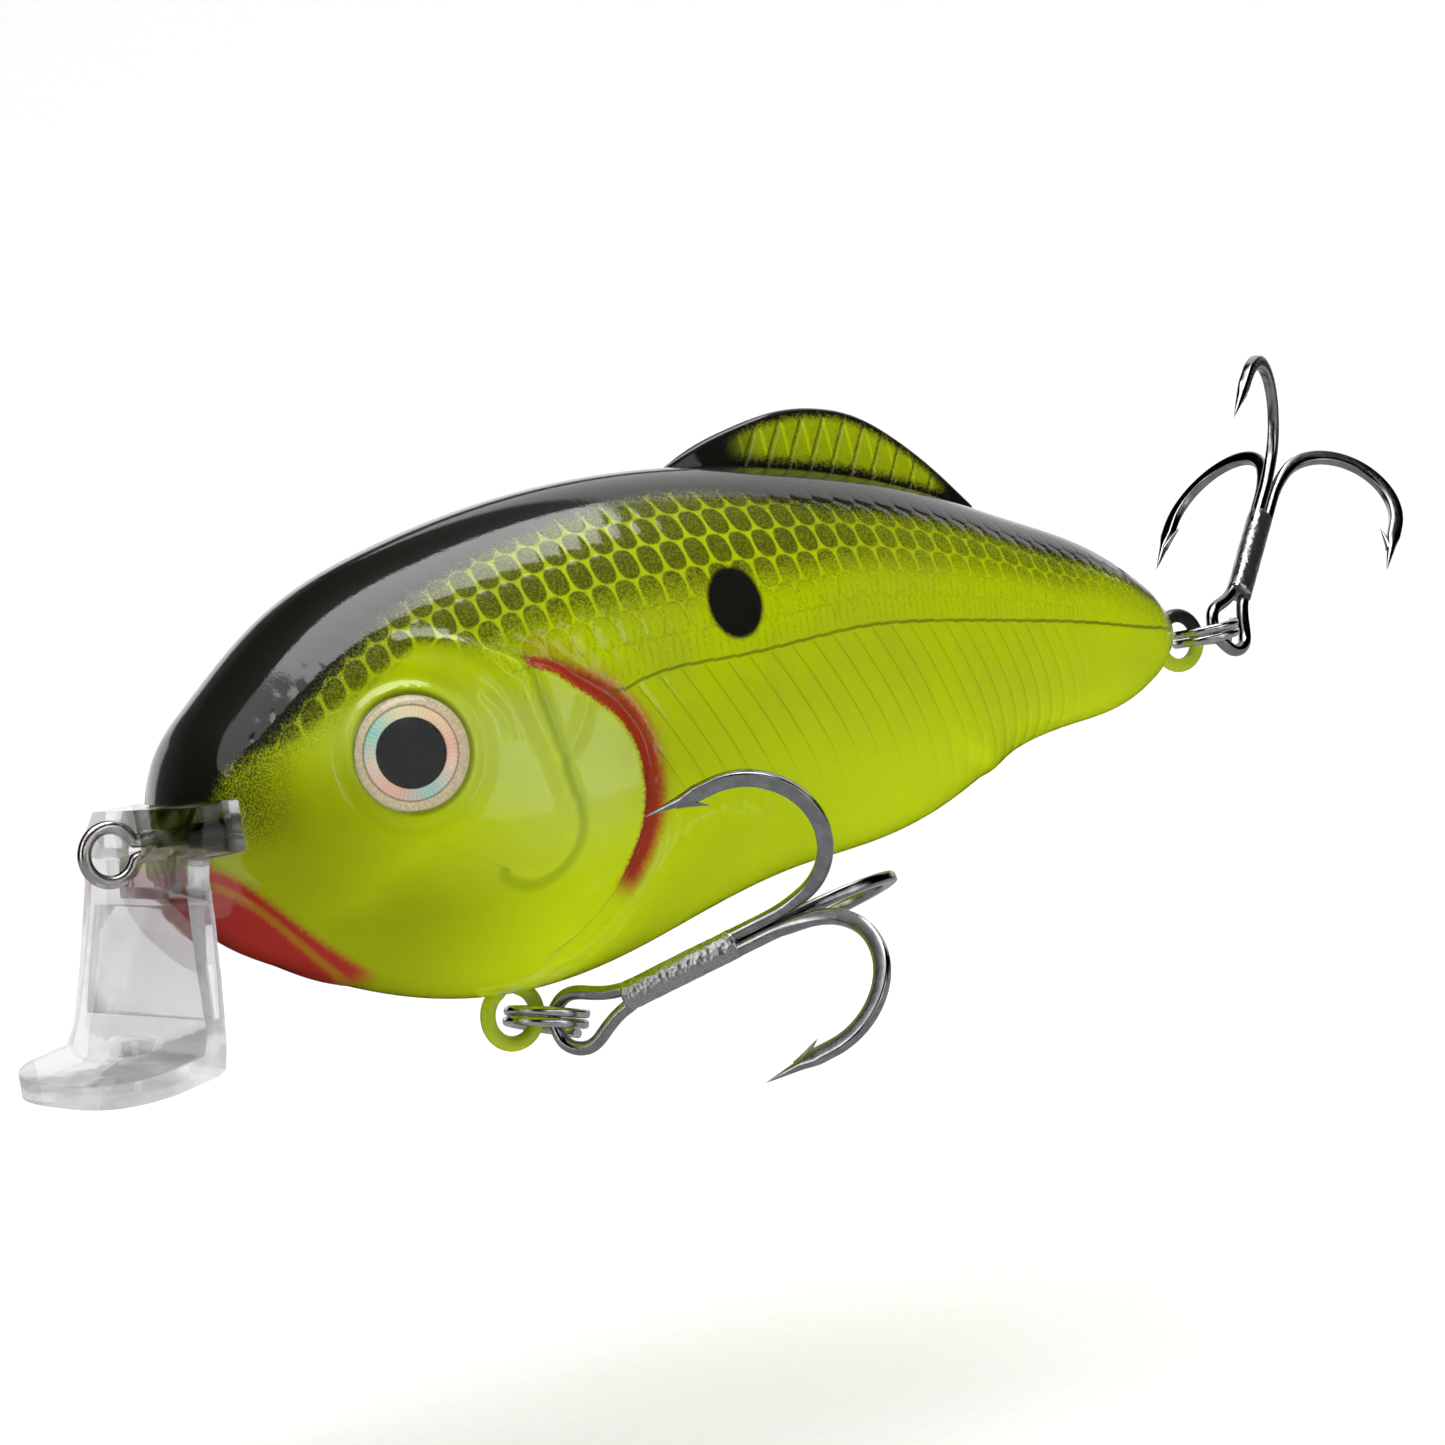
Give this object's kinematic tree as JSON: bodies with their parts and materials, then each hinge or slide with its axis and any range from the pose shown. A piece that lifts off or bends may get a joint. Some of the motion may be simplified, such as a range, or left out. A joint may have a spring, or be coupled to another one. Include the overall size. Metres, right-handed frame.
{
  "type": "crankbait lure",
  "caption": "Shallow-running fat shad-shaped fishing lure: hollow rattling body with a clear L-shaped wake lip, wire line tie, split rings and swinging treble hooks.",
  "frame": {"origin": "centre of the line tie's wire ring at the nose", "axes": "+X from the nose to the tail, +Z towards the back with its fin, -Y is the fish's left side"},
  "size_m": [0.1385, 0.0451, 0.0491],
  "materials": {
    "body_paint": "chartreuse, black and red paint under a thick gloss clear coat",
    "clear_lip": "clear polycarbonate, polished",
    "tie_wire": "bright stainless wire",
    "painted_wire": "chartreuse painted wire, black airbrush on top",
    "iris_foil": "gold and pearl holographic foil with a black pupil",
    "eye_dome": "clear cast resin",
    "ballast": "dull cast metal",
    "ball_steel": "polished steel ball",
    "ring_steel": "polished spring steel",
    "hook_steel": "black nickel plated steel"
  },
  "bodies": {
    "lure_body": {"body_shell_left": "body_paint", "body_shell_right": "body_paint", "diving_lip": "clear_lip", "line_tie": "tie_wire", "belly_hook_hanger": "painted_wire", "tail_hook_hanger": "painted_wire", "left_eye_foil": "iris_foil", "left_eye_dome": "eye_dome", "right_eye_foil": "iris_foil", "right_eye_dome": "eye_dome", "keel_weight": "ballast"},
    "belly_ring": {"belly_split_ring": "ring_steel"},
    "belly_treble": {"belly_treble_double": "hook_steel", "belly_treble_single": "hook_steel"},
    "tail_ring": {"tail_split_ring": "ring_steel"},
    "tail_treble": {"tail_treble_double": "hook_steel", "tail_treble_single": "hook_steel"},
    "front_rattle": {"rattle_ball_front": "ball_steel"},
    "middle_rattle": {"rattle_ball_middle": "ball_steel"},
    "knocker": {"knocker_ball": "ball_steel"},
    "rear_rattle": {"rattle_ball_rear": "ball_steel"}
  },
  "joints": [
    {"name": "belly_ring_swing", "type": "hinge", "parent": "lure_body", "child": "belly_ring", "pos_m": [0.0303, 0, -0.018], "axis": [0, 1, 0], "range_deg": [0, 90]},
    {"name": "belly_hook_swing", "type": "hinge", "parent": "belly_ring", "child": "belly_treble", "pos_m": [0.03411, -0.00277, -0.01924], "axis": [0.787, 0.607, -0.11], "range_deg": [0, 60]},
    {"name": "tail_ring_swing", "type": "hinge", "parent": "lure_body", "child": "tail_ring", "pos_m": [0.1015, 0, 0.0001], "axis": [0, 1, 0], "range_deg": [-50, 80]},
    {"name": "tail_hook_swing", "type": "hinge", "parent": "tail_ring", "child": "tail_treble", "pos_m": [0.10734, 0, 0.0001], "axis": [-0.2189, 0.9405, -0.2599], "range_deg": [-30, 110]},
    {"name": "front_rattle_slide", "type": "slide", "parent": "lure_body", "child": "front_rattle", "axis": [1, 0, 0], "range_m": [-0.0033, 0.0033]},
    {"name": "middle_rattle_slide", "type": "slide", "parent": "lure_body", "child": "middle_rattle", "axis": [1, 0, 0], "range_m": [-0.0071, 0.0071]},
    {"name": "knocker_slide", "type": "slide", "parent": "lure_body", "child": "knocker", "axis": [1, 0, 0], "range_m": [-0.0081, 0.0081]},
    {"name": "rear_rattle_slide", "type": "slide", "parent": "lure_body", "child": "rear_rattle", "axis": [1, 0, 0], "range_m": [-0.00255, 0.00255]}
  ]
}
